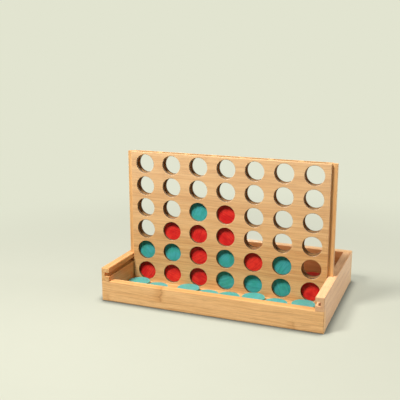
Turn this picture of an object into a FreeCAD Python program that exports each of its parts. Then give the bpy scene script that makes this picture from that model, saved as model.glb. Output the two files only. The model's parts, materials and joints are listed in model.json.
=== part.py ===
import FreeCAD, Part
import math
import os
from FreeCAD import Vector

# Four in a row frame: a bamboo tray with a low front wall, an upright double
# perforated board that drops into grooves in the tray's side walls, and 42 round
# wooden playing discs, 18 in the board and 24 lying in the tray.
#
# Frame: origin on the ground under the middle of the tray, +X to the right along
# the tray's long side, +Y to the back, +Z up. Millimetres.

# ---- tray sizes ---------------------------------------------------------------
TRAY_W = 276.0          # outside, along X
TRAY_D = 181.5          # outside, along Y
WALL_T = 10.4           # all four walls
WALL_H = 42.5           # side and back walls
FRONT_H = 26.0          # low front wall, so that the flat board slides over it
WALL_ROUNDING = 1.0

FLOOR_Z = 7.0           # top of the floor panel
FLOOR_T = 4.0
FLOOR_LET_IN = 4.0      # how far the floor panel enters each wall
FLOOR_CHAMFER = 0.5
FLOOR_END_GAP = 0.2     # between the panel's edge and the bottom of its groove
FLOOR_UNDER_GAP = 0.05  # between the panel's underside and its groove

GROOVE_DEPTH = 6.1      # lid groove and upright groove in the side walls
GROOVE_W = 5.3
LID_GROOVE_Z = 31.65    # bottom edge of the horizontal lid groove

DOWEL_D = 5.0
DOWEL_L = 19.6
DOWEL_IN_END_WALL = 6.8  # length of dowel inside the front or back wall
DOWEL_CHAMFER = 0.5
DOWEL_FIT = 0.1         # glue gap on the dowel holes' diameter
DOWEL_END_GAP = 0.3     # between each end of a dowel and its hole
DOWELS = [(-1, 15.5), (1, 13.5), (1, 25.0)]  # end (-1 front, 1 back), z

# ---- board sizes --------------------------------------------------------------
COLUMNS, ROWS = 7, 6
PITCH_X = 36.0
PITCH_Z = 28.3
HOLE_D = 23.8
HOLE_EASE = 0.5         # rounding of each hole's rim on the panel's outer face
PANEL_T = 3.6           # each perforated panel
PANEL_W = 254.0
PANEL_ROUNDING = 0.6
CORE_T = 4.8            # rails and column dividers between the panels
TONGUE_W = 266.6        # over the outer faces of the two side rails
RAIL_ROUNDING = 0.5
BOARD_TOP = 177.3
BOARD_SETBACK = 66.5    # from the tray's front face to the board's
SLOT_W = 29.0           # clear width of a column
DIVIDER_TOP_ROUNDING = 1.2
DIVIDER_FOOT_ROUNDING = 0.4

# ---- discs --------------------------------------------------------------------
DISC_D = 28.2
DISC_T = 4.2
DISC_ROUNDING = 0.7
STACK_GAP = 0.05        # daylight between stacked discs

# Column contents from the bottom up, r = red, t = teal.
COLOURS = {"r": "red", "t": "teal"}
STACKS = {1: "rt", 2: "rtr", 3: "rrrt", 4: "ttrr", 5: "tr", 6: "tt", 7: "r"}

# Loose discs: x, y of the centre and the layer (0 = on the floor).
LOOSE_DISCS = {
    "teal": [
        (-112.8, -38.6, 0), (-83.3, -48.2, 0), (-43.9, -38.7, 0), (-10.5, -60.0, 1),
        (12.5, -47.5, 0), (41.7, -38.7, 0), (71.5, -46.9, 0), (103.1, -38.7, 0),
        (-105.6, -66.1, 0), (-60.0, -65.8, 0), (-29.5, -65.6, 0), (34.0, -66.1, 0),
        (95.3, -66.1, 0),
    ],
    "red": [
        (92.0, 62.0, 0), (61.0, 55.0, 0), (112.0, 30.0, 0), (78.0, 22.0, 0),
        (28.0, 64.0, 0), (40.0, 20.0, 0), (-4.0, 38.0, 0), (-42.0, 62.0, 0),
        (-50.0, 18.0, 0), (-92.0, 44.0, 0), (-112.0, 12.0, 0),
    ],
}

# ---- derived places -----------------------------------------------------------
OUTER_X, OUTER_Y = TRAY_W / 2, TRAY_D / 2
INNER_X, INNER_Y = OUTER_X - WALL_T, OUTER_Y - WALL_T
FLOOR_X, FLOOR_Y = INNER_X + FLOOR_LET_IN, INNER_Y + FLOOR_LET_IN
FLOOR_BOTTOM = FLOOR_Z - FLOOR_T
DOWEL_X = OUTER_X - WALL_T / 2
BOARD_FRONT = -OUTER_Y + BOARD_SETBACK
CORE_FRONT = BOARD_FRONT + PANEL_T
CORE_BACK = CORE_FRONT + CORE_T
BOARD_BACK = CORE_BACK + PANEL_T
CORE_MID = (CORE_FRONT + CORE_BACK) / 2
COLUMN_X = [(i - (COLUMNS - 1) / 2) * PITCH_X for i in range(COLUMNS)]
ROW_Z = [FLOOR_Z + PITCH_Z / 2 + k * PITCH_Z for k in range(ROWS)]

TOLERANCE = 1e-3        # for finding edges by their place
OVERRUN = 1.0           # how far cutters reach past the faces they open


# ---- helpers ------------------------------------------------------------------
def box(x0, x1, y0, y1, z0, z1):
    return Part.makeBox(x1 - x0, y1 - y0, z1 - z0, Vector(x0, y0, z0))


def near(a, b):
    return abs(a - b) < TOLERANCE


def lies_at(vertex, place):
    x, y, z = vertex.Point
    coordinates = {"x": x, "y": y, "z": z, "abs_x": abs(x)}
    return all(near(coordinates[key], value) for key, value in place.items())


def edges_at(shape, place):
    """The edges whose two ends both lie at place, such as dict(x=1, z=2)."""
    return [e for e in shape.Edges
            if len(e.Vertexes) == 2 and all(lies_at(v, place) for v in e.Vertexes)]


def rounded(shape, radius, *places):
    """Rounds the edges that lie at any of the places, each edge once."""
    chosen = []
    for place in places:
        for edge in edges_at(shape, place):
            if not any(edge.isSame(other) for other in chosen):
                chosen.append(edge)
    return shape.makeFillet(radius, chosen)


def circles(shape):
    return [e for e in shape.Edges if isinstance(e.Curve, Part.Circle)]


def mirrored(shape):
    """The same shape on the other side of the tray's middle."""
    return shape.mirror(Vector(0, 0, 0), Vector(1, 0, 0))


# ---- tray ---------------------------------------------------------------------
def dowel_cylinder(side, end, z, diameter, length, depth):
    """A cylinder from depth inside the end wall, through the joint, into the side wall."""
    start = Vector(side * DOWEL_X, end * (INNER_Y + depth), z)
    return Part.makeCylinder(diameter / 2, length, start, Vector(0, -end, 0))


def corner_dowel(side, end, z):
    dowel = dowel_cylinder(side, end, z, DOWEL_D, DOWEL_L, DOWEL_IN_END_WALL)
    return dowel.makeChamfer(DOWEL_CHAMFER, circles(dowel))


def dowel_hole(side, end, z):
    return dowel_cylinder(
        side, end, z, DOWEL_D + DOWEL_FIT,
        DOWEL_L + 2 * DOWEL_END_GAP, DOWEL_IN_END_WALL + DOWEL_END_GAP)


def end_wall(end, height, *more_rounded):
    """The front (end -1) or back (end 1) wall; it covers the side walls' ends."""
    outer, inner = end * OUTER_Y, end * INNER_Y
    wall = box(-OUTER_X, OUTER_X, min(outer, inner), max(outer, inner), 0, height)
    wall = rounded(
        wall, WALL_ROUNDING,
        dict(y=outer, z=height),
        dict(y=outer, z=0),
        dict(y=outer, abs_x=OUTER_X),
        dict(y=inner, z=height),
        *more_rounded)
    groove_x = FLOOR_X + FLOOR_END_GAP
    groove_y = sorted([end * (FLOOR_Y + FLOOR_END_GAP), end * (INNER_Y - OVERRUN)])
    wall = wall.cut(box(
        -groove_x, groove_x, *groove_y, FLOOR_BOTTOM - FLOOR_UNDER_GAP, FLOOR_Z))
    for side in (-1, 1):
        for dowel_end, z in DOWELS:
            if dowel_end == end:
                wall = wall.cut(dowel_hole(side, end, z))
    return wall


def right_wall():
    """Stepped at the front: its upper part reaches over the low front wall."""
    profile = [
        (-INNER_Y, 0), (INNER_Y, 0), (INNER_Y, WALL_H),
        (-OUTER_Y, WALL_H), (-OUTER_Y, FRONT_H), (-INNER_Y, FRONT_H),
    ]  # y, z
    outline = Part.makePolygon([Vector(INNER_X, y, z) for y, z in profile + profile[:1]])
    wall = Part.Face(outline).extrude(Vector(WALL_T, 0, 0))
    wall = rounded(
        wall, WALL_ROUNDING,
        dict(x=OUTER_X, z=WALL_H),
        dict(x=INNER_X, z=WALL_H),
        dict(y=-OUTER_Y, z=WALL_H),
        dict(x=OUTER_X, y=-OUTER_Y),
        dict(x=OUTER_X, z=0))
    cut_x = INNER_X - OVERRUN
    groove_x = INNER_X + GROOVE_DEPTH
    floor_groove = box(
        cut_x, FLOOR_X + FLOOR_END_GAP, -INNER_Y - OVERRUN, INNER_Y + OVERRUN,
        FLOOR_BOTTOM - FLOOR_UNDER_GAP, FLOOR_Z)
    lid_groove = box(
        cut_x, groove_x, -OUTER_Y - OVERRUN, INNER_Y + OVERRUN,
        LID_GROOVE_Z, LID_GROOVE_Z + GROOVE_W)
    upright_groove = box(
        cut_x, groove_x, CORE_MID - GROOVE_W / 2, CORE_MID + GROOVE_W / 2,
        FLOOR_Z, WALL_H + OVERRUN)
    for groove in (floor_groove, lid_groove, upright_groove):
        wall = wall.cut(groove)
    for end, z in DOWELS:
        wall = wall.cut(dowel_hole(1, end, z))
    return wall


def floor_panel():
    """Chamfered around its underside and on its upright corners."""
    floor = box(-FLOOR_X, FLOOR_X, -FLOOR_Y, FLOOR_Y, FLOOR_BOTTOM, FLOOR_Z)
    upright = [e for e in floor.Edges if near(abs(e.tangentAt(e.FirstParameter).z), 1)]
    return floor.makeChamfer(FLOOR_CHAMFER, edges_at(floor, dict(z=FLOOR_BOTTOM)) + upright)


# ---- board --------------------------------------------------------------------
def hole_cutter(x, z):
    """Cuts one round hole whose rim is eased on the panel's outer face, at y = 0."""
    radius = HOLE_D / 2
    rim_radius = radius + HOLE_EASE
    front, back = -OVERRUN, PANEL_T + OVERRUN
    points = [Vector(*point, 0) for point in (
        (radius, HOLE_EASE), (radius, back), (0, back), (0, front),
        (rim_radius, front), (rim_radius, 0))]
    middle = Vector(
        rim_radius - HOLE_EASE * math.sin(math.pi / 4),
        HOLE_EASE * (1 - math.cos(math.pi / 4)), 0)
    rim = Part.Arc(points[-1], middle, points[0]).toShape()
    lines = [Part.makeLine(a, b) for a, b in zip(points, points[1:])]
    half_section = Part.Face(Part.Wire(lines + [rim]))
    cutter = half_section.revolve(Vector(0, 0, 0), Vector(0, 1, 0), 360)
    cutter.translate(Vector(x, 0, z))
    return cutter


def perforated_panel():
    """One panel with its outer face at y = 0 and its inner face at y = PANEL_T."""
    panel = box(-PANEL_W / 2, PANEL_W / 2, 0, PANEL_T, FLOOR_Z, BOARD_TOP)
    panel = rounded(
        panel, PANEL_ROUNDING,
        dict(y=0, z=BOARD_TOP),
        dict(y=0, abs_x=PANEL_W / 2),
        dict(y=0, z=FLOOR_Z))
    return panel.cut(Part.makeCompound([hole_cutter(x, z) for x in COLUMN_X for z in ROW_Z]))


def core_strip(x0, x1):
    """A full-height strip between the two panels."""
    return box(x0, x1, CORE_FRONT, CORE_BACK, FLOOR_Z, BOARD_TOP)


def right_rail():
    outer = TONGUE_W / 2
    return rounded(
        core_strip(COLUMN_X[-1] + SLOT_W / 2, outer), RAIL_ROUNDING,
        dict(x=outer, y=CORE_FRONT),
        dict(x=outer, y=CORE_BACK),
        dict(x=outer, z=BOARD_TOP),
        dict(x=outer, z=FLOOR_Z))


def column_divider(left_column_x, right_column_x):
    x0, x1 = left_column_x + SLOT_W / 2, right_column_x - SLOT_W / 2
    divider = core_strip(x0, x1)
    for z, radius in ((BOARD_TOP, DIVIDER_TOP_ROUNDING), (FLOOR_Z, DIVIDER_FOOT_ROUNDING)):
        divider = rounded(divider, radius, dict(x=x0, z=z), dict(x=x1, z=z))
    return divider


# ---- discs --------------------------------------------------------------------
def disc(centre, axis):
    body = Part.makeCylinder(DISC_D / 2, DISC_T, centre - axis * (DISC_T / 2), axis)
    return body.makeFillet(DISC_ROUNDING, circles(body))


def column_discs():
    """The discs standing in the board's columns."""
    discs = {}
    for column, stack in STACKS.items():
        for level, colour in enumerate(stack):
            z = FLOOR_Z + DISC_D / 2 + level * (DISC_D + STACK_GAP)
            name = f"column_{column}_disc_{level + 1}_{COLOURS[colour]}"
            discs[name] = disc(Vector(COLUMN_X[column - 1], CORE_MID, z), Vector(0, 1, 0))
    return discs


def loose_discs():
    """The discs lying flat in the tray."""
    discs = {}
    for colour, places in LOOSE_DISCS.items():
        for number, (x, y, layer) in enumerate(places, 1):
            z = FLOOR_Z + DISC_T / 2 + layer * (DISC_T + STACK_GAP)
            name = f"loose_{colour}_disc_{number:02d}"
            discs[name] = disc(Vector(x, y, z), Vector(0, 0, 1))
    return discs


# ---- all pieces, one STEP file each -------------------------------------------
wall = right_wall()
rail = right_rail()
panel = perforated_panel()
front_panel = panel.copy()
front_panel.translate(Vector(0, BOARD_FRONT, 0))
back_panel = panel.mirror(Vector(0, 0, 0), Vector(0, 1, 0))
back_panel.translate(Vector(0, BOARD_BACK, 0))

pieces = {
    "front_wall": end_wall(-1, FRONT_H),
    "back_wall": end_wall(1, WALL_H, dict(abs_x=OUTER_X, z=WALL_H)),
    "left_wall": mirrored(wall),
    "right_wall": wall,
    "floor_panel": floor_panel(),
    "corner_dowels": Part.makeCompound(
        [corner_dowel(side, end, z).Solids[0] for side in (-1, 1) for end, z in DOWELS]),
    "front_panel": front_panel,
    "back_panel": back_panel,
    "right_rail": rail,
    "left_rail": mirrored(rail),
}
for i in range(COLUMNS - 1):
    pieces[f"column_divider_{i + 1}"] = column_divider(COLUMN_X[i], COLUMN_X[i + 1])
pieces.update(column_discs())
pieces.update(loose_discs())

os.makedirs("parts", exist_ok=True)
for name, shape in pieces.items():
    assert shape.isValid(), name
    # A cut returns a compound, so a lone solid is taken out of it.
    whole = shape.Solids[0] if len(shape.Solids) == 1 else shape
    whole.exportStep(f"parts/{name}.step")
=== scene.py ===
"""A bamboo disc game: a low tray with two upright panels, and red and teal discs.

X runs left to right, Y from front to back and Z up from the floor. Blender places are in
metres; bamboo grain and disc sizes are in millimetres.
"""
import bmesh
import bpy
import json
import math
import random
from mathutils import Matrix, Vector


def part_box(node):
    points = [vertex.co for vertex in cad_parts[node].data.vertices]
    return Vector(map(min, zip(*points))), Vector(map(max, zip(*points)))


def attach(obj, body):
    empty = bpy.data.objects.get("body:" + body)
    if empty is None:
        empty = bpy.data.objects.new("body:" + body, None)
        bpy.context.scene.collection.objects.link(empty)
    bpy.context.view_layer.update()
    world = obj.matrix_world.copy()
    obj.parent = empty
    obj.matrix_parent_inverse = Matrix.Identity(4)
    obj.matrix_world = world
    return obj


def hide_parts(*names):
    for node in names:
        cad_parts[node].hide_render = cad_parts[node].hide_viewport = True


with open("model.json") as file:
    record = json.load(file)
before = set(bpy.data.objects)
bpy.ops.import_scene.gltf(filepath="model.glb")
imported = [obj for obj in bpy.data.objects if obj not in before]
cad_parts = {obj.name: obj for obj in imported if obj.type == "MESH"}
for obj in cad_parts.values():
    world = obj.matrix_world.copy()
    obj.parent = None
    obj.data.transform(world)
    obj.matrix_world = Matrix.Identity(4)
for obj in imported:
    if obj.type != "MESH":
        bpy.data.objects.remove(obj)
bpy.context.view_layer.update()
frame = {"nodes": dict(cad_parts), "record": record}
NODES = frame["nodes"]
BODY_OF = {node: body
           for body, nodes in frame["record"]["behaviour"]["bodies"].items()
           for node in nodes}
SCENE = bpy.context.scene


def srgb(*channels):
    """An sRGB colour of 0 to 255 as linear RGBA."""
    def linear(c):
        c /= 255.0
        return c / 12.92 if c <= 0.04045 else ((c + 0.055) / 1.055) ** 2.4
    return (*map(linear, channels), 1.0)


# ---------------------------------------------------------------------------
# A short way to write shader nodes
# ---------------------------------------------------------------------------
class Value:
    """A node's output. Arithmetic on it adds math nodes; [] picks another output of the node."""

    def __init__(self, net, socket):
        self.net = net
        self.socket = socket

    def __getitem__(self, output):
        return Value(self.net, self.socket.node.outputs[output])

    def __add__(self, other):
        return self.net.math("ADD", self, other)

    def __sub__(self, other):
        return self.net.math("SUBTRACT", self, other)

    def __rsub__(self, other):
        return self.net.math("SUBTRACT", other, self)

    def __mul__(self, other):
        return self.net.math("MULTIPLY", self, other)

    def __rmul__(self, other):
        return self.net.math("MULTIPLY", other, self)

    def __truediv__(self, other):
        return self.net.math("DIVIDE", self, other)


class ShaderNet:
    """The node tree of a material or world."""

    def __init__(self, owner, output_kind="ShaderNodeOutputMaterial"):
        owner.use_nodes = True
        self.owner = owner
        self.tree = owner.node_tree
        self.tree.nodes.clear()
        self.surface = self.tree.nodes.new(output_kind).inputs["Surface"]

    def put(self, socket, value):
        if isinstance(value, Value):
            self.tree.links.new(value.socket, socket)
        elif value is not None:
            socket.default_value = value

    def node(self, kind, inputs=None, output=0, **props):
        made = self.tree.nodes.new(kind)
        for name, value in props.items():
            setattr(made, name, value)
        for key, value in (inputs or {}).items():
            self.put(made.inputs[key], value)
        return Value(self, made.outputs[output])

    def math(self, operation, *values):
        return self.node("ShaderNodeMath", dict(enumerate(values)), operation=operation)

    def ramp(self, value, over, to=(0.0, 1.0), kind="SMOOTHSTEP"):
        """Carries the range `over` onto the range `to`, clamped."""
        return self.node("ShaderNodeMapRange", dict(enumerate((value, *over, *to))),
                         interpolation_type=kind, clamp=True)

    def vec(self, *parts):
        return self.node("ShaderNodeCombineXYZ", dict(enumerate(parts)))

    def xyz(self, vector):
        return self.node("ShaderNodeSeparateXYZ", {0: vector})

    def noise(self, where, detail, rough=0.5, warp=0.0, scale=1.0):
        inputs = {"Vector": where, "Scale": scale, "Detail": detail,
                  "Roughness": rough, "Distortion": warp}
        return self.node("ShaderNodeTexNoise", inputs, "Fac", noise_dimensions="3D")

    def mix(self, base, other, by):
        return self.node("ShaderNodeMix", {0: by, 6: base, 7: other}, 2, data_type="RGBA")

    def mix_shader(self, base, other, by):
        return self.node("ShaderNodeMixShader", {0: by, 1: base, 2: other})

    def bump(self, height, distance, strength):
        return self.node("ShaderNodeBump", {"Strength": strength, "Distance": distance,
                                            "Height": height})

    def edge(self, radius):
        """0 on flat faces to 1 on edges within about radius metres."""
        rounded = self.node("ShaderNodeBevel", {"Radius": radius}, samples=3)
        normal = self.node("ShaderNodeNewGeometry", output="Normal")
        agreement = self.node("ShaderNodeVectorMath", {0: rounded, 1: normal}, "Value",
                              operation="DOT_PRODUCT")
        return self.ramp(agreement, over=(0.999, 0.90))

    def finish(self, shader):
        self.put(self.surface, shader)
        return self.owner

    def principled(self, **inputs):
        named = {key.replace("_", " "): value for key, value in inputs.items()}
        return self.finish(self.node("ShaderNodeBsdfPrincipled", named))


# ---------------------------------------------------------------------------
# Bamboo: strips glued side by side, with long fibres, dark bundles and the
# knuckle of each cane crossing its strip
# ---------------------------------------------------------------------------
PALE, MID, DEEP = srgb(238, 193, 133), srgb(224, 171, 106), srgb(198, 139, 77)
BROWN = srgb(152, 96, 46)

KNUCKLE_PERIOD = 235.0     # mm between the knuckles of a strip
POSITIVE = 50.0            # whole cells added to keep strip, ply and knuckle counts positive
TOP_Z = 176.0              # mm; panel, rail and divider edges above this are open
WINDOW_HALF_X = 125.5      # mm; the windows lie within this of the middle


def fibre_colour(net, fibre, strip_tone, contrast):
    """Tone of the strip, then light and dark bands, streaks and dashes of fibre."""
    broad = fibre(0.006, 0.09, 0.05, detail=3.0, rough=0.55)
    band = fibre(0.0045, 0.21, 0.2, detail=2.0, rough=0.5)
    streak = fibre(0.011, 0.42, 0.42, detail=5.0, rough=0.62)
    fine = fibre(0.026, 2.1, 2.1, detail=3.0, rough=0.6)
    dash = fibre(0.07, 5.2, 5.2, detail=1.0, rough=0.5, shift=2)

    tone = net.math("MULTIPLY_ADD", strip_tone, 0.45, (broad - 0.5) * 1.5)
    colour = net.mix(PALE, MID, by=net.ramp(tone, over=(-0.15, 0.75), kind="LINEAR"))
    # noise range, strength, tint
    for over, strength, tint in (((0.50, 0.66), 0.45, DEEP), ((0.46, 0.32), 0.50, PALE)):
        colour = net.mix(colour, tint, by=net.ramp(band, over, to=(0.0, strength * contrast)))
    for field, over, strength, tint in (
        (streak, (0.48, 0.72), 0.62, DEEP),
        (streak, (0.50, 0.28), 0.45, PALE),
        (fine, (0.50, 0.70), 0.48, BROWN),
        (dash, (0.58, 0.70), 0.45, BROWN),
    ):
        colour = net.mix(colour, tint, by=net.ramp(field, over) * (strength * contrast))
    return colour, streak, fine, dash


def add_knuckles(net, colour, along, wave_at, sway, chance, fine, chosen, strength):
    """A soft wavy band across each strip with a thin darker line in it.

    chosen is None, or a strip's mask and the phase of its knuckle.
    """
    shift = chance[0]
    if chosen:
        mask, phase = chosen
        shift = net.math("MULTIPLY_ADD", mask, phase - shift, shift)
    turns = (along + shift * KNUCKLE_PERIOD + sway * 14.0) / KNUCKLE_PERIOD
    distance = (net.math("FRACT", turns + POSITIVE) - 0.5) * KNUCKLE_PERIOD
    distance = distance + (net.noise(wave_at, detail=4.0, rough=0.62) - 0.5) * 11.0
    line = net.ramp(net.math("ABSOLUTE", distance), over=(2.4, 0.1))
    halo = net.ramp(net.math("ABSOLUTE", distance + 2.6), over=(10.5, 0.0))
    light = net.ramp(net.math("ABSOLUTE", distance - 5.0), over=(6.0, 0.0))
    faint = net.ramp(chance[1], over=(0.15, 0.8), to=(0.30, 1.0))
    if chosen:
        faint = net.math("MAXIMUM", faint, mask)
    broken = net.ramp(fine, over=(0.36, 0.56), to=(0.25, 1.0))
    colour = net.mix(colour, PALE, by=light * faint * (0.25 * strength))
    colour = net.mix(colour, DEEP, by=halo * faint * (0.45 * strength))
    colour = net.mix(colour, BROWN, by=line * faint * broken * (0.42 * strength))
    return colour, line


def add_bare_and_shaded_faces(net, colour, mm, facing, windows, inner_shade_y, open_above, top_shade):
    """Faces without lacquer, darkened with painted shade; also returns where they are, 0 to 1."""
    window_shade = inner_and_top_shade = 0.0
    if windows:     # window walls darkened with painted shade, varied by tool marks
        window_shade = net.ramp(net.math("ABSOLUTE", facing[1]), over=(0.92, 0.55))
        window_shade = window_shade * net.math("LESS_THAN", mm[2], TOP_Z)
        window_shade = window_shade * net.math("LESS_THAN", net.math("ABSOLUTE", mm[0]), WINDOW_HALF_X)
        marks = net.noise(net.vec(mm[0] * 0.25, mm[1] * 3.5, mm[2] * 0.25), detail=3.0, rough=0.6)
        colour = net.mix(colour, srgb(88, 66, 47),
                         by=window_shade * net.ramp(marks, over=(0.25, 0.75), to=(0.80, 1.0)))
    if inner_shade_y:      # the face towards the columns, darkened with painted shade
        inner_and_top_shade = net.ramp(facing[1] * inner_shade_y, over=(0.5, 0.8))
        colour = net.mix(colour, srgb(112, 80, 50), by=inner_and_top_shade * 0.55)
    if open_above:  # the open upper edges, darkened with painted shade
        top = net.ramp(facing[2], over=(0.2, 0.7)) * net.math("GREATER_THAN", mm[2], open_above)
        colour = net.mix(colour, srgb(168, 120, 72), by=top * top_shade)
        inner_and_top_shade = net.math("MAXIMUM", inner_and_top_shade, top)
    return colour, net.math("MAXIMUM", window_shade, inner_and_top_shade)


def tint_board(net, colour, mm, facing, painted_reflection, shade, light_by_height, tone, left_shade):
    """The board's cast and brightness, with painted reflection, painted light and painted shade.
    """
    # paler, pinker cast: painted reflection of the pale surround
    if painted_reflection:
        colour = net.mix(colour, srgb(232, 194, 170), by=painted_reflection)
    if shade:
        # painted shade on the chosen side
        shaded_side = net.ramp(facing[shade["axis"]] * shade["sign"], over=(0.5, 0.8))
        colour = net.mix(colour, shade["colour"], by=shaded_side * shade["depth"])
    if light_by_height:
        # painted light: paler towards the top
        colour = net.mix(colour, srgb(244, 226, 198),
                         by=net.ramp(mm[2], over=(40.0, 170.0), to=(0.0, light_by_height)))
    if tone != 1.0 or light_by_height:
        # with the height gradient, painted shade darkens the lower part
        level = net.ramp(mm[2], over=(15.0, 125.0), to=(tone * 0.91, tone)) if light_by_height else tone
        if left_shade:
            # painted shade towards the left
            level = level * net.ramp(mm[0], over=(-110.0, 120.0), to=(1.0 - left_shade, 1.0))
        colour = net.node("ShaderNodeHueSaturation", {"Value": level, "Color": colour})
    return colour


def bamboo(
    name, along, across, strip, seed,   # grain axis, axis across strips, strip width mm
    phase=0.0,          # shift of the strips, in strips
    ply=0.0,            # ply thickness, mm; 0 for solid strips
    contrast=1.0,       # strength of the fibres
    knuckles=1.0,       # strength of the knuckles
    knuckle=None,       # a knuckle's place along and across the strips, mm
    windows=False,      # has window walls, darkened with painted shade
    inner_shade_y=0.0,         # sign of Y on the unlacquered face towards the columns, darkened with painted shade
    open_above=0.0,     # upper edges above this height are unlacquered and darkened with painted shade, mm
    top_shade=0.22,          # how much painted shade darkens those edges
    painted_reflection=0.0,          # painted reflection of the pale surround: paler, pinker colour
    shade=None,         # the side darkened with painted shade
    light_by_height=0.0,           # painted light paler towards the top, painted shade deeper near the tray
    tone=1.0,           # brightness
    left_shade=0.0,           # painted shade: darkening towards the left
    rough=0.40, coat=0.26,
):
    net = ShaderNet(bpy.data.materials.new(name))
    place = net.xyz(net.node("ShaderNodeTexCoord", output="Object"))
    mm = [place[axis] * 1000.0 for axis in range(3)]
    first, second = "XYZ".index(along), "XYZ".index(across)
    u, v, w = mm[first], mm[second], mm[3 - first - second]   # along, across, through
    offset = seed * 37.31

    # strips across the face, and plies through the thickness
    strips = v / strip + (phase + POSITIVE)
    index = net.math("FLOOR", strips)
    within = net.math("FRACT", strips)
    layer = net.math("FLOOR", w / ply + (POSITIVE + 0.5)) if ply else 0.0
    chance = net.node("ShaderNodeTexWhiteNoise", {"Vector": net.vec(index, layer, offset)},
                      "Value", noise_dimensions="3D")
    seam_distance = net.math("MINIMUM", within, 1.0 - within) * strip

    # slow wander of the fibres
    sway = net.noise(net.vec(u * 0.011, v * 0.03, index + offset), detail=2.0) - 0.5
    v_swayed = v + sway * 6.0
    u_shifted = u + chance * 400.0

    def fibre(per_u, per_v, per_w, detail, rough, shift=1):
        """Noise at these frequencies along, across and through, per mm."""
        where = net.vec(u_shifted * per_u, v_swayed * per_v, w * per_w + offset * shift)
        return net.noise(where, detail, rough)

    colour, streak, fine, dash = fibre_colour(net, fibre, chance, contrast)

    chosen = None
    if knuckle:
        strip_index = float(math.floor(knuckle[1] / strip + phase + POSITIVE))
        chosen = (net.math("COMPARE", index, strip_index, 0.1),
                  (0.5 - knuckle[0] / KNUCKLE_PERIOD) % 1.0)
    colour, line = add_knuckles(
        net, colour, u, wave_at=net.vec(v * 0.22, w * 0.22, index + offset), sway=sway,
        chance=net.xyz(chance["Color"]), fine=fine, chosen=chosen, strength=knuckles)

    facing = None
    if windows or inner_shade_y or open_above or shade:
        facing = net.xyz(net.node("ShaderNodeNewGeometry", output="True Normal"))
    # painted shade on the window walls, the faces towards the columns and the open top edges,
    # which also lose their lacquer
    colour, bare_and_shaded = add_bare_and_shaded_faces(net, colour, mm, facing, windows, inner_shade_y, open_above, top_shade)

    # glue seams
    seam = net.ramp(seam_distance, over=(0.28, 0.06))
    colour = net.mix(colour, BROWN, by=seam * 0.28)

    # eased edges are rubbed a little paler and smoother
    worn = net.edge(radius=0.0011)
    patch = net.noise(net.vec(*(axis * 0.12 for axis in mm)), detail=2.0)
    patch = net.ramp(patch, over=(0.35, 0.65))
    worn = worn * (1.0 - bare_and_shaded)
    colour = net.mix(colour, srgb(238, 202, 152),
                     by=worn * net.math("MULTIPLY_ADD", patch, 0.12, 0.0))
    colour = tint_board(net, colour, mm, facing, painted_reflection, shade, light_by_height, tone, left_shade)

    height = (fine * -0.55 + streak * -0.35 + net.ramp(dash, over=(0.60, 0.70)) * -0.40
              + seam * -0.55 + line * 0.35)
    roughness = (net.math("MULTIPLY_ADD", fine, 0.22, rough - 0.10)
                 + seam * 0.12 - worn * 0.07 + bare_and_shaded * 0.35)
    return net.principled(
        Base_Color=colour, Roughness=roughness, IOR=1.48,
        Normal=net.bump(height, distance=0.00012, strength=0.55),
        Specular_IOR_Level=net.math("MULTIPLY_ADD", bare_and_shaded, -0.38, 0.45),
        Coat_Weight=(1.0 - bare_and_shaded) * coat, Coat_Roughness=0.34)


def shaded_side(axis, sign, depth, colour):
    """Painted shade: deeper colour on the faces that look along sign * axis (0 X, 1 Y)."""
    return dict(axis=axis, sign=sign, depth=depth, colour=srgb(*colour))


LONG_WALL = dict(along="X", across="Z", strip=17.5)
SIDE_WALL = dict(along="Y", across="Z", strip=17.5, open_above=41.0)
PANEL = dict(along="X", across="Z", strip=19.0, contrast=0.9, ply=1.2, windows=True,
             open_above=TOP_Z)
UPRIGHT = dict(along="Z", across="X", strip=6.5, tone=0.98, open_above=TOP_Z)

# CAD pieces and the bamboo they wear
BOARDS = [
    (["front_wall"], bamboo(
        "bamboo_front_wall", **LONG_WALL, seed=3, phase=0.46, tone=1.17, knuckles=1.15,
        knuckle=(-57.0, 18.0), open_above=24.6, top_shade=0.42, left_shade=0.055)),
    (["back_wall"], bamboo(
        "bamboo_back_wall", **LONG_WALL, seed=11, phase=0.10, tone=1.03,
        shade=shaded_side(axis=1, sign=-1.0, depth=0.60, colour=(168, 94, 44)))),
    (["left_wall"], bamboo(
        "bamboo_left_wall", **SIDE_WALL, seed=19, phase=0.55, tone=1.03, top_shade=0.40,
        shade=shaded_side(axis=0, sign=1.0, depth=0.50, colour=(212, 126, 58)))),
    (["right_wall"], bamboo(
        "bamboo_right_wall", **SIDE_WALL, seed=27, phase=0.21, tone=1.04, top_shade=0.06, painted_reflection=0.32,
        shade=shaded_side(axis=0, sign=-1.0, depth=0.50, colour=(196, 112, 54)))),
    (["floor_panel"], bamboo(
        "bamboo_floor", along="X", across="Y", strip=19.0, seed=35, phase=0.4, tone=0.97)),
    (["front_panel"], bamboo(
        "bamboo_front_panel", **PANEL, seed=43, phase=0.28, knuckles=0.45, tone=0.92,
        coat=0.42, inner_shade_y=1.0, light_by_height=0.17, left_shade=0.04)),
    (["back_panel"], bamboo(
        "bamboo_back_panel", **PANEL, seed=51, phase=0.61, knuckles=0.7, inner_shade_y=-1.0)),
    (["left_rail", "right_rail"], bamboo("bamboo_rail", **UPRIGHT, seed=59, phase=0.3)),
    (["column_divider_%d" % i for i in range(1, 7)], bamboo(
        "bamboo_divider", **UPRIGHT, seed=67, phase=0.7)),
    (["corner_dowels"], bamboo(
        "beech_dowel", along="Y", across="Z", strip=40.0, seed=75, knuckles=0.0, tone=1.02,
        coat=0.0, rough=0.6)),
]


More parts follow.
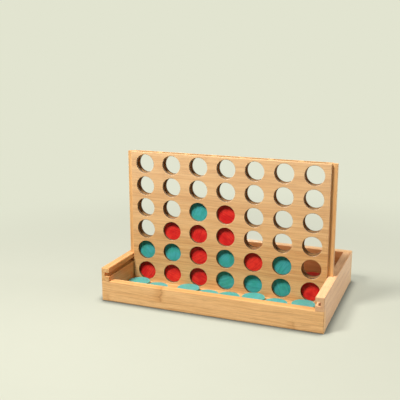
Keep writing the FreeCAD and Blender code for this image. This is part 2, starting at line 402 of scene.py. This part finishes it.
# ---------------------------------------------------------------------------
# Stained wooden discs
# ---------------------------------------------------------------------------
def stained(name, main, light, deep, wood, grazing_sheen, sheen, sheen_tint):
    net = ShaderNet(bpy.data.materials.new(name))
    place = net.node("ShaderNodeAttribute", output="Vector", attribute_name="disc_mm")
    x, y, z = (net.xyz(place)[axis] for axis in range(3))
    seed = net.node("ShaderNodeAttribute", output="Fac", attribute_name="disc_seed")
    offset = seed * 91.7
    radius = net.math("SQRT", x * x + y * y)
    grain = net.noise(net.vec(x * 0.05 + offset, y * 0.75, z * 0.75 + offset),
                      detail=5.0, rough=0.6, warp=0.3)
    pores = net.noise(net.vec(x * 0.22 + offset, y * 4.0, z * 4.0), detail=2.0, rough=0.55)
    cloud = net.noise(net.vec(x * 0.11 + offset, y * 0.11, offset), detail=3.0)
    colour = main
    # noise, its range, strength, tint
    for field, over, strength, tint in (
        (cloud, (0.38, 0.62), 0.90, light),
        (grain, (0.46, 0.64), 0.42, deep),
        (grain, (0.44, 0.28), 0.40, light),
        (pores, (0.52, 0.68), 0.34, deep),
    ):
        colour = net.mix(colour, tint, by=net.ramp(field, over, to=(0.0, strength)))
    # painted sheen: paler colour where the face is seen at a low angle
    low = net.node("ShaderNodeLayerWeight", {"Blend": 0.5}, "Facing")
    colour = net.mix(colour, grazing_sheen, by=net.ramp(low, over=(0.45, 0.95), to=(0.0, 0.45)))
    # the rim's sharp turn lets a little wood through in places
    rim = net.ramp(radius, over=(13.15, 13.75))
    side = net.ramp(net.math("ABSOLUTE", z), over=(1.1, 1.75))
    chip = net.noise(net.vec(x * 0.55 + offset, y * 0.55, z * 0.55), detail=4.0, rough=0.65)
    chip = net.ramp(chip, over=(0.50, 0.66))
    colour = net.mix(colour, wood, by=rim * side * net.math("MULTIPLY_ADD", chip, 0.30, 0.10))
    height = grain * -0.5 + net.ramp(pores, over=(0.55, 0.70)) * -0.5
    return net.principled(
        Base_Color=colour, Roughness=net.math("MULTIPLY_ADD", pores, 0.20, 0.32),
        Normal=net.bump(height, distance=0.00018, strength=0.6), IOR=1.48,
        Specular_IOR_Level=0.15, Coat_Weight=0.05, Coat_Roughness=0.30,
        Sheen_Weight=sheen, Sheen_Roughness=0.45, Sheen_Tint=sheen_tint)


RED = stained("red_stain", main=srgb(208, 33, 30), light=srgb(228, 54, 42),
              deep=srgb(162, 12, 22), wood=srgb(230, 116, 84), grazing_sheen=srgb(226, 66, 54),
              sheen=0.08, sheen_tint=(1.0, 1.0, 1.0, 1.0))
TEAL = stained("teal_stain", main=srgb(48, 158, 146), light=srgb(60, 164, 168),
               deep=srgb(16, 112, 104), wood=srgb(130, 206, 192), grazing_sheen=srgb(78, 200, 188),
               sheen=1.0, sheen_tint=srgb(206, 255, 248))

DISC_RADIUS = 14.1
DISC_HALF = 4.2 / 2          # half the thickness
DISC_EASE = 0.7              # radius of the eased rim
FLAT_RADIUS = DISC_RADIUS - DISC_EASE
FACE_RINGS = (2.5, 5.0, 7.5, 9.5, 11.2, 12.5)
EASE_STEPS = 5
DISC_SEGMENTS = 112
CENTRE_DIP = 0.02
FACE_DIP = 0.045


def disc_mesh(name, waves):
    """A disc about Z in mm, with eased rims and very slightly uneven faces."""
    upper = [(radius, DISC_HALF) for radius in FACE_RINGS]
    for k in range(EASE_STEPS + 1):
        angle = k / EASE_STEPS * math.pi / 2
        upper.append((DISC_RADIUS - DISC_EASE + DISC_EASE * math.sin(angle),
                      DISC_HALF - DISC_EASE + DISC_EASE * math.cos(angle)))
    profile = upper + [(radius, -height) for radius, height in reversed(upper)]

    def uneven(radius, angle, height):
        """Only the faces dip, never past the flat."""
        if abs(height) < DISC_HALF:
            return height
        dip = 0.5 + 0.5 * math.sin(2 * angle + waves[0]) * math.sin(radius / 4 + waves[1])
        depth = FACE_DIP * dip * max(0.0, 1 - (radius / FLAT_RADIUS) ** 4)
        return math.copysign(DISC_HALF - depth, height)

    bm = bmesh.new()
    top = bm.verts.new((0, 0, DISC_HALF - CENTRE_DIP))
    bottom = bm.verts.new((0, 0, -DISC_HALF + CENTRE_DIP))
    angles = [2 * math.pi * i / DISC_SEGMENTS for i in range(DISC_SEGMENTS)]
    rings = [[bm.verts.new((radius * math.cos(a), radius * math.sin(a),
                            uneven(radius, a, height))) for a in angles]
             for radius, height in profile]
    for i in range(DISC_SEGMENTS):
        j = (i + 1) % DISC_SEGMENTS
        bm.faces.new((top, rings[0][i], rings[0][j]))
        bm.faces.new((bottom, rings[-1][j], rings[-1][i]))
        for ring, below in zip(rings, rings[1:]):
            bm.faces.new((ring[i], below[i], below[j], ring[j]))
    bm.normal_update()
    mesh = bpy.data.meshes.new(name)
    bm.to_mesh(mesh)
    bm.free()
    return mesh


def disc(node):
    """A turned disc in the place of its CAD solid."""
    low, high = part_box(node)
    centre, size = (low + high) / 2, high - low
    axis = min(range(3), key=lambda i: size[i])
    rnd = random.Random(node)
    spin = rnd.uniform(0, 2 * math.pi)
    seed = rnd.random()
    waves = [rnd.uniform(0, 2 * math.pi) for _ in range(2)]
    mesh = disc_mesh(node + "_mesh", waves)
    # local millimetres for the grain, turned at random about the disc's axis
    turn = Matrix.Rotation(spin, 3, "Z")
    where = [c for vert in mesh.vertices for c in turn @ vert.co]
    mesh.attributes.new("disc_mm", "FLOAT_VECTOR", "POINT").data.foreach_set("vector", where)
    seeds = [seed] * len(mesh.vertices)
    mesh.attributes.new("disc_seed", "FLOAT", "POINT").data.foreach_set("value", seeds)
    # into place, in metres
    rotation = (Matrix.Rotation(math.pi / 2, 4, "Y"), Matrix.Rotation(math.pi / 2, 4, "X"),
                Matrix.Identity(4))[axis]
    mesh.transform(Matrix.Translation(centre) @ rotation @ Matrix.Scale(0.001, 4))
    for face in mesh.polygons:
        face.use_smooth = True
    turned = bpy.data.objects.new(node + "_turned", mesh)
    SCENE.collection.objects.link(turned)
    red = node.endswith("_red") or "_red_" in node
    mesh.materials.append(RED if red else TEAL)
    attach(turned, BODY_OF[node])
    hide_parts(node)


for name in sorted(NODES):
    if "_disc_" in name:
        disc(name)

for names, material in BOARDS:
    for name in names:
        materials = NODES[name].data.materials
        materials.clear()
        materials.append(material)


# ---------------------------------------------------------------------------
# Stage: pale floor that fades into a pale surround, soft light
# ---------------------------------------------------------------------------
BACKDROP = srgb(226, 228, 208)
COOL = (0.94, 0.97, 1.0, 1.0)


def floor_material():
    net = ShaderNet(bpy.data.materials.new("stage_floor"))
    place = net.node("ShaderNodeTexCoord", output="Object")
    distance = net.node("ShaderNodeVectorMath", {0: place}, "Value", operation="LENGTH")
    far = net.ramp(distance, over=(0.20, 0.62), to=(0.55, 1.0))
    mottled = net.noise(place, detail=3.0, scale=40.0)
    paper = net.mix(srgb(184, 186, 172), srgb(180, 182, 168),
                    by=net.ramp(mottled, over=(0.3, 0.7), to=(0.0, 0.25)))
    # painted shadow where the tray meets the floor: darker there
    near = net.node("ShaderNodeAmbientOcclusion", {"Distance": 0.013}, "AO", samples=8)
    contact_shadow = net.ramp(near, over=(0.50, 1.0), to=(0.30, 1.0))
    shaded = net.mix((0.0, 0.0, 0.0, 1.0), paper, by=contact_shadow)
    diffuse = net.node("ShaderNodeBsdfDiffuse", {"Color": shaded})
    glow = net.node("ShaderNodeEmission", {"Color": BACKDROP, "Strength": contact_shadow})
    seen = net.mix_shader(diffuse, glow, by=far)
    # a dim floor for the light it bounces
    plain = net.node("ShaderNodeBsdfDiffuse", {"Color": (0.11, 0.11, 0.10, 1.0)})
    ray = net.node("ShaderNodeLightPath")
    direct = net.math("MAXIMUM", ray["Is Camera Ray"], ray["Is Glossy Ray"])
    return net.finish(net.mix_shader(plain, seen, by=direct))


def stage_floor():
    material = floor_material()
    mesh = bpy.data.meshes.new("stage_floor")
    bm = bmesh.new()
    bmesh.ops.create_circle(bm, cap_ends=True, radius=30.0, segments=64)
    bm.to_mesh(mesh)
    bm.free()
    floor = bpy.data.objects.new("stage_floor", mesh)
    floor.location = (0, 0, -0.0002)
    mesh.materials.append(material)
    SCENE.collection.objects.link(floor)


def surround():
    """The backdrop for the camera, a soft fill, and its own light for reflections."""
    world = bpy.data.worlds.new("surround")
    SCENE.world = world
    net = ShaderNet(world, "ShaderNodeOutputWorld")

    def background(**inputs):
        return net.node("ShaderNodeBackground", inputs)

    direction = net.xyz(net.node("ShaderNodeTexCoord", output="Generated"))
    # reflections are brighter low down
    sheen = net.ramp(direction["Z"], over=(0.05, 0.75), to=(0.80, 0.15), kind="LINEAR")
    # the fill is stronger and warmer from the right, leaning to the back
    lean = net.math("MULTIPLY_ADD", direction["Y"], 0.45, direction["X"])
    fill = net.ramp(lean, over=(0.35, 1.05), to=(0.025, 0.50), kind="LINEAR")
    tint = net.mix(COOL, (1.0, 0.80, 0.58, 1.0),
                   by=net.ramp(lean, over=(0.0, 1.0), kind="LINEAR"))
    ray = net.node("ShaderNodeLightPath")
    lit = net.mix_shader(background(Color=tint, Strength=fill),
                         background(Color=COOL, Strength=sheen), by=ray["Is Glossy Ray"])
    net.finish(net.mix_shader(lit, background(Color=BACKDROP), by=ray["Is Camera Ray"]))


def area(name, place, target, size, watts, colour):
    light = bpy.data.lights.new(name, "AREA")
    light.shape = "ELLIPSE"
    light.size, light.size_y = size
    light.energy = watts
    light.color = colour
    lamp = bpy.data.objects.new(name, light)
    lamp.location = place
    lamp.rotation_mode = "QUATERNION"
    lamp.rotation_quaternion = (Vector(target) - Vector(place)).to_track_quat("-Z", "Y")
    lamp.visible_camera = False
    SCENE.collection.objects.link(lamp)


stage_floor()
surround()
area("key", place=(-0.29, -0.52, 0.92), target=(0, -0.02, 0.07), size=(0.28, 0.28),
     watts=18.2, colour=(1.0, 0.97, 0.94))
area("side", place=(1.25, 0.22, 0.05), target=(0, 0.02, 0.03), size=(1.1, 0.06),
     watts=3.2, colour=(0.74, 0.88, 1.0))
area("right", place=(0.95, 0.30, 0.75), target=(0.05, 0.04, 0.04), size=(0.5, 0.5),
     watts=4.8, colour=(0.97, 0.96, 1.0))
area("low", place=(0.95, -0.33, 0.46), target=(-0.10, -0.03, 0.04), size=(0.4, 0.4),
     watts=1.8, colour=(1.0, 0.84, 0.64))
area("behind", place=(-0.75, 1.25, 0.30), target=(0, 0.05, 0.08), size=(0.8, 0.5),
     watts=6.0, colour=(1.0, 0.98, 0.95))

# ---------------------------------------------------------------------------
# Camera: in front, to the right and above, looking back and down
# ---------------------------------------------------------------------------
LENS, SENSOR = 60.83028, 36.0                # mm
PITCH, TURN, ROLL = 0.234, -0.377, -0.002    # radians: down, right from +Y, about the view
AIM, DISTANCE = Vector((-0.043124, 0.0, 0.115839)), 0.861358

forward = Vector((math.sin(TURN) * math.cos(PITCH), math.cos(TURN) * math.cos(PITCH),
                  -math.sin(PITCH)))
level_right = Vector((math.cos(TURN), -math.sin(TURN), 0.0))
level_up = level_right.cross(forward)
right = level_right * math.cos(ROLL) + level_up * math.sin(ROLL)
up = level_up * math.cos(ROLL) - level_right * math.sin(ROLL)
lens = bpy.data.cameras.new("camera")
lens.sensor_width = SENSOR
lens.sensor_fit = "HORIZONTAL"
lens.lens = LENS
lens.clip_start, lens.clip_end = 0.01, 100.0
camera = bpy.data.objects.new("camera", lens)
rotation = Matrix((right, up, -forward)).transposed()
camera.matrix_world = Matrix.Translation(AIM - forward * DISTANCE) @ rotation.to_4x4()
SCENE.collection.objects.link(camera)
SCENE.camera = camera

SCENE.view_settings.view_transform = "Standard"
SCENE.view_settings.look = "None"
